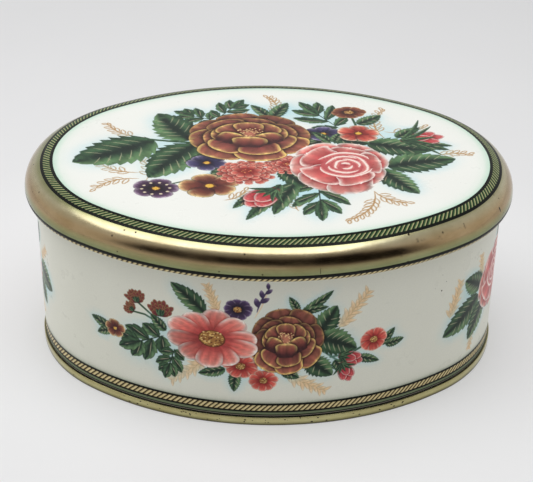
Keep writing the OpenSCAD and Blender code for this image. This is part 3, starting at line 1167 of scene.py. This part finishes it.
def lid_outer(skin):
    """The lid's outer line in three parts: shoulder, bead and under side. It is sunk where
    print covers it, and comes up gently past the print, so that no step shows in the gold."""
    rising = [tuple(bead_c + (BEAD_R - skin * (1 - smooth(t, 0, 1)))
                    * direction(PRINT_END_SLOPE + RISE * t)) for t in np.linspace(0, 1, 10)]
    return (arc(shoulder_c, SHOULDER_R - skin, 0, SHOULDER_SLOPE, 8),
            arc(bead_c, BEAD_R - skin, SHOULDER_SLOPE + 1, PRINT_END_SLOPE - 1, 3) + rising
            + arc(bead_c, BEAD_R, PRINT_END_SLOPE + RISE + 2, EDGE_TOP_SLOPE, 16),
            arc(under_c, UNDER_R - skin, EDGE_TOP_SLOPE + 1, UNDER_SLOPE, 10))


def lid_curve(lead=3.0):
    """The lid's outer line by length from the edge of the flat panel."""
    points = [(-PANEL_INSET - lead, TOP), *arc(shoulder_c, SHOULDER_R, 0, SHOULDER_SLOPE, 200),
              *arc(bead_c, BEAD_R, SHOULDER_SLOPE + 0.2, 60, 200)]
    return section_lengths(points) - lead, np.array(points)


CURVE = lid_curve()


def rope_line(slide):
    """The border on the shoulder, moved along the metal with the print."""
    lengths, points = CURVE
    first = PANEL_INSET - PANEL_EDGE + slide
    at = np.linspace(first, first + SHOULDER_BAND, 12)
    return np.stack([np.interp(at, lengths, column) for column in points.T], -1)


def lid_scars(edge):
    """Worn spots on the gold edge: three single marks, and five clusters of four. Places are
    counted from the middle of the front and from the panel's edge."""
    rng = np.random.default_rng(83)
    scars = [(FRONT_S + along, edge + across, long, wide) for along, across, long, wide in
             ((21, 19.0, 1.7, 0.14), (116, 15.6, 1.5, 0.5), (78.4, 12.2, 0.6, 0.34))]
    for along, across in ((66, 12.6), (66, 12.6), (75, 14.3), (89, 13.3), (89, 13.3)):
        for _ in range(4):
            size = rng.uniform(0.12, 0.3)
            scars.append((FRONT_S + along + rng.normal(0, 1.7), edge + across + rng.normal(0, 0.5),
                          1.3 * size, size))
    return scars


def lid_piece():
    """One sheet from the middle of the panel to the end of the curl, and back inside."""
    shoulder, bead, under = lid_outer(SKIN)
    curl = arc(curl_c, CURL_R, CURL_START, CURL_END, 16)
    inside = (arc(curl_c, CURL_R - SHEET, CURL_END, CURL_START, 14)
              + arc(under_c, UNDER_R - SHEET, UNDER_SLOPE, 92, 7)
              + arc(bead_c, BEAD_R - SHEET, 88, SHOULDER_SLOPE + 3, 12)
              + arc(shoulder_c, SHOULDER_R - SHEET, SHOULDER_SLOPE - 2, 0, 5)
              + inwards(TOP - SHEET, -PANEL_INSET - 1.5))
    top = inwards(TOP - SKIN, -PANEL_INSET - 0.3)[::-1]
    outside = top + shoulder + bead + under + curl
    section = outside + inside
    obj = swept("lid_tinplate", section, closed=False)
    lengths = section_lengths(section)
    first = len(top) + len(shoulder)
    start, end = lengths[first], lengths[first + len(bead) - 1]
    # The tint along the bead holds painted light: the pale stop 2.4 mm into the bead is a painted
    # highlight, and the darker, greener stops near its lower end are a painted reflection of the
    # floor.
    obj.data.materials.append(gold_material("gold_lacquer_lid_painted_sheen", [
        (0.0, GOLD_GREEN), (start, GOLD_GREEN), (start + 2.4, (196, 189, 157)),
        ((start + end) / 2, GOLD_TAN), (end - 4.0, (187, 162, 123)), (end - 2.6, (168, 160, 116)),
        (end - 0.4, (138, 146, 106)), (lengths[-1], GOLD_GREEN)], lid_scars(lengths[len(top)])))
    obj.data.materials.append(tinplate)
    mark_faces(obj, len(section) - 1, lambda j: j >= len(outside))
    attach(obj, "lid")
    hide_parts("lid")


def wall_piece():
    """The wall with its top edge rolled inwards."""
    hem_c = np.array([-HEM_R, WALL_TOP - HEM_R])
    outer = (arc(hem_c, HEM_R, -240, 90, 26) + [(0, PRINT_HIGH + 0.1), (-SKIN, PRINT_HIGH)]
             + [(-SKIN, z) for z in np.linspace(PRINT_HIGH, WALL_FOOT, 12)[1:]])
    inner = ([(-SHEET, z) for z in np.linspace(WALL_FOOT, hem_c[1], 12)[:-1]]
             + arc(hem_c, HEM_R - SHEET, 90, -240, 22))
    obj = swept("wall_sheet", outer + inner)
    obj.data.materials.append(enamel)
    obj.data.materials.append(tinplate)
    mark_faces(obj, len(outer + inner), lambda j: j < HIDDEN_SPANS or j >= len(outer) - 1)
    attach(obj, "tin")
    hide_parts("body_wall")


def base_piece():
    """The pan under the tin: a rim folded round the wall's foot and a stamped, raised bottom."""
    fit, foot = 0.05, 1.2
    round_out, round_in = 0.32, 0.45
    panel = [(-1.9, 0), (-9, 0), (-10, 0.25), (-11, 0.6), (-13.5, 0.6), (-14.5, 0.25), (-15.5, 0),
             (-30, 0), (-31, 0.2), (-32, 0.4), (-45, 0.4), (-57, 0.4)]
    top = [(out, PANEL_RISE + rise) for out, rise in panel[::-1]]
    below = [(out, PANEL_RISE - SHEET + rise) for out, rise in panel]
    rim = ([(-SHEET - fit, PANEL_RISE), (-SHEET - fit, WALL_FOOT), (fit, WALL_FOOT), (fit, RIM_TOP)]
           + arc((RIM_OUT - round_out, RIM_TOP - round_out), round_out, 5, 90, 5)
           + arc((RIM_OUT - round_in, round_in), round_in, 90, 180, 6)
           + arc((-foot + 0.3, 0.3), 0.3, 180, 270, 4)
           + [(-foot, PANEL_RISE - SHEET - 0.4), (-foot - 0.15, PANEL_RISE - SHEET - 0.1)])
    obj = swept("base_pan", top + rim + below, closed=False)
    lengths = section_lengths(top + rim + below)
    start, end = lengths[len(top) + 4], lengths[len(top) + 12]
    rng = np.random.default_rng(84)
    scars = []
    for _ in range(34):
        size = rng.uniform(0.12, 0.4)
        scars.append((FRONT_S + rng.normal(8, 50), rng.uniform(start + 0.5, end - 1.0), size,
                      1.6 * size))
    # The tint turns near black at the rim's lower rounded edge: painted shade where the rim meets
    # the floor.
    obj.data.materials.append(gold_material("gold_lacquer_base_painted_shade", [
        (0.0, GOLD_GREEN), (start - 0.4, (96, 90, 60)), (start + 0.4, (184, 178, 130)),
        (start + 2.0, (204, 198, 146)), (end - 1.4, (180, 176, 128)), (end - 0.3, (70, 66, 44)),
        (lengths[-1], GOLD_TAN)], scars))
    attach(obj, "tin")
    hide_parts("base")


def seam_piece():
    """The lock seam at the back: a fold inside, and the thin ridge that shows outside."""
    fold = [(-2.5, -SHEET), (-2.5, -0.8), (-2.3, -1.0), (1.2, -1.0), (1.4, -0.75), (2.4, -0.62),
            (2.5, -0.5), (2.5, -SHEET), (1.1, -0.1), (1.1, 0.06), (0.85, 0.12), (-0.95, 0.14),
            (-1.1, 0.06), (-1.1, -0.1)]
    heights = np.linspace(RIM_TOP + 0.2, WALL_TOP - 2.4, 24)
    verts, rows = [], len(fold)
    for z in heights:
        raised = float(smooth(z, PRINT_LOW, PRINT_LOW + 6))
        for along, out in fold:
            out = min(out, -SKIN + (SKIN + SEAM_RIDGE) * raised)
            (x, y), _ = outline.place(np.array(BACK_S + along), np.array(out))
            verts.append((x, y, z))
    faces = [(a + j, a + (j + 1) % rows, a + rows + (j + 1) % rows, a + rows + j)
             for a in range(0, len(verts) - rows, rows) for j in range(rows)]
    faces += [list(range(rows))[::-1], list(range(len(verts) - rows, len(verts)))]
    obj = make_object("wall_side_seam", verts, faces, 30)
    obj.data.materials.append(enamel)
    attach(obj, "tin")


def on_wall(middle, half):
    """Where a wall print lies: a runs along the wall, b up it."""
    def locate(a, b):
        s = middle + (2 * a - 1) * half
        z = PRINT_LOW + b * (PRINT_HIGH - PRINT_LOW)
        flat, normal = outline.place(s, np.zeros_like(s))
        level = z[..., None]
        points = np.concatenate([flat, level], -1)
        return points, np.concatenate([normal, 0 * level], -1), (s - middle, z)
    return locate


def on_panel(a, b):
    """Where the lid's panel print lies: a square grid bent smoothly into the oval. Its rim
    follows the metal where the misplaced print runs on to the shoulder."""
    u, v = 2 * a - 1, 2 * b - 1
    x, y = u * np.sqrt(1 - v * v / 2), v * np.sqrt(1 - u * u / 2)
    reach = outline.radius_towards(np.arctan2(y, x), -PANEL_EDGE)
    px, py = x * reach, y * reach
    x, y = px + PRINT_SHIFT[0], py + PRINT_SHIFT[1]
    flat_edge = outline.radius_towards(np.arctan2(y, x), -PANEL_INSET)
    beyond = np.clip(np.hypot(x, y) - flat_edge, 0, None)
    z = TOP - SHOULDER_R + np.sqrt(SHOULDER_R ** 2 - beyond ** 2)
    return np.stack([x, y, z], -1), np.broadcast_to((0.0, 0.0, 1.0), (*z.shape, 3)), (px, py)


def add_print(name, body, *layout):
    obj = plate(name, *layout)
    obj.data.materials.append(printed)
    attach(obj, body)


def add_border(name, points, body, sliding=None, **pattern):
    obj = swept(name, skin_section(points), sliding=sliding)
    obj.data.materials.append(border_material(name + "_print", **pattern))
    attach(obj, body)


printed, enamel, tinplate = printed_material(), enamel_material(), tinplate_material()

lid_piece()
wall_piece()
base_piece()
seam_piece()

wall_band = [(0, z) for z in np.linspace(PRINT_LOW, RIM_TOP + 0.05, 10)]
edge_band = lid_outer(0)[2]
add_border("lid_rope_border", rope_line(0.0), "lid", sliding=lambda d: skin_section(rope_line(d)),
           marks=(1.35, 4.75), strand=LID_STRAND, lean=1.5)
add_border("lid_edge_border", edge_band, "lid", marks=(1.6, 5.0), strand=WALL_STRAND, lean=0.9)
add_border("wall_rope_border", wall_band, "tin", marks=(1.1, 4.2), strand=WALL_STRAND, lean=1.25,
           stripes=((5.0, 6.3, (112, 124, 94)), (6.75, 7.1, (140, 134, 120))))

END_HALF = outline.length / 4 - FRONT_HALF
for side, middle, half, columns, budget in (("front", FRONT_S, FRONT_HALF, LONG_COLUMNS, 170000),
                                            ("back", BACK_S, FRONT_HALF, LONG_COLUMNS, 120000),
                                            ("left", LEFT_S, END_HALF, END_COLUMNS, 120000),
                                            ("right", RIGHT_S, END_HALF, END_COLUMNS, 120000)):
    canvas = Canvas((-half - MARGIN, half + MARGIN), (PRINT_LOW - MARGIN, PRINT_HIGH + MARGIN),
                    WALL_WHITE, seed=len(side))
    wall_fade(canvas)
    WALL_PICTURES[side](canvas)
    add_print("wall_print_" + side, "tin", canvas, columns, WALL_ROWS, on_wall(middle, half),
              budget)

canvas = Canvas((-HALF_L, HALF_L), (-HALF_W, HALF_W), PANEL_WHITE, seed=2)
paint_lid(canvas)
add_print("lid_panel_print", "lid", canvas, LID_COLUMNS, LID_ROWS, on_panel, 165000)


# ---------------------------------------------------------------- studio

CAMERA_SPOT = (-5.32, -594.05, 406.32)
CAMERA_TURNS = (58.884303, -0.758026, 0.013422)     # tilt, roll and heading, in degrees


def make_camera():
    """The photograph's own view of the tin."""
    data = bpy.data.cameras.new("camera")
    data.sensor_width, data.lens = 36.0, 96.47
    camera = bpy.data.objects.new("camera", data)
    camera.location = Vector(CAMERA_SPOT) * MM
    camera.rotation_euler = [radians(turn) for turn in CAMERA_TURNS]
    bpy.context.scene.collection.objects.link(camera)
    bpy.context.scene.camera = camera


def add_softbox(name, spot, size, turn, watts):
    """A broad light overhead, facing straight down, turned about the vertical."""
    data = bpy.data.lights.new(name, "AREA")
    data.shape, data.energy = "RECTANGLE", watts
    data.size, data.size_y = size
    light = bpy.data.objects.new(name, data)
    light.location = spot
    light.rotation_euler = (0, 0, radians(turn))
    bpy.context.scene.collection.objects.link(light)


def make_world():
    """A pale room, darker in front of the tin at the heights that the rounded lid edge mirrors.
    The dark part reaches lower to the right."""
    n = Nodes(bpy.data.worlds.new("studio"), "Background", Strength=0.87)
    right, back, height = n.split(n.add("TexCoord", {}).outputs["Generated"])
    sky = n.ramp(height, (0.0, 0.82), (0.3, 0.80), (0.6, 0.74), (0.95, 0.6))
    front = n.ramp(n.math("MULTIPLY", back, -1.0), (0.42, 0.0), (0.56, 1.0))
    top = n.ramp(height, (0.62, 1.0), (0.74, 0.6), (0.84, 0.25), (0.92, 0.0))
    lowered = n.math("ADD", height, n.math("MULTIPLY", n.math("MAXIMUM", right, 0.0), 0.35))
    foot = n.ramp(lowered, (0.06, 0.0), (0.17, 0.45), (0.25, 0.7), (0.32, 1.0))
    card = n.math("MULTIPLY", front, n.math("MULTIPLY", top, foot))
    n.feed(n.shader.inputs["Color"], n.blend(card, sky, (12, 10, 9)))
    bpy.context.scene.world = n.owner


def make_floor(spokes=64):
    """A pale studio floor, with a faint unevenness, that glows a little: painted light, strongest
    round the tin, that fills in its shadow.
    """
    rings = [200, 400, 700, 1200, 2000, 3500, 6000, 10000]
    verts = [(0, 0, 0)] + [(*polar((0, 0), r, 2 * pi * k / spokes), 0)
                           for r in rings for k in range(spokes)]
    around = [(k, (k + 1) % spokes) for k in range(spokes)]
    faces = [(0, 1 + k, 1 + m) for k, m in around]
    for a in range(1, len(verts) - spokes, spokes):
        faces += [(a + k, a + spokes + k, a + spokes + m, a + m) for k, m in around]
    floor = make_object("studio_floor", verts, faces)
    n = new_material("studio_floor_glowing_paper", 0.6, Specular_IOR_Level=0.1, Emission_Color=(1, 1, 1, 1))
    distance = n.add("VectorMath", {0: n.place()}, operation="LENGTH").outputs["Value"]
    # Painted light: the floor glows, more strongly near the tin.
    n.feed(n.shader.inputs["Emission Strength"],
           n.ramp(distance, (0.1, 0.34), (0.22, 0.28), (0.5, 0.23)))
    floor.data.materials.append(n.finish(n.cloud(240, 3, (188, 188, 189), (192, 192, 193)),
                                         (0.01, 2.5, 3)))


make_camera()
make_world()
make_floor()
add_softbox("softbox_top", (-0.30, -0.10, 1.30), (1.8, 0.92), -12, 12.2)
bpy.context.scene.view_settings.view_transform = "Standard"
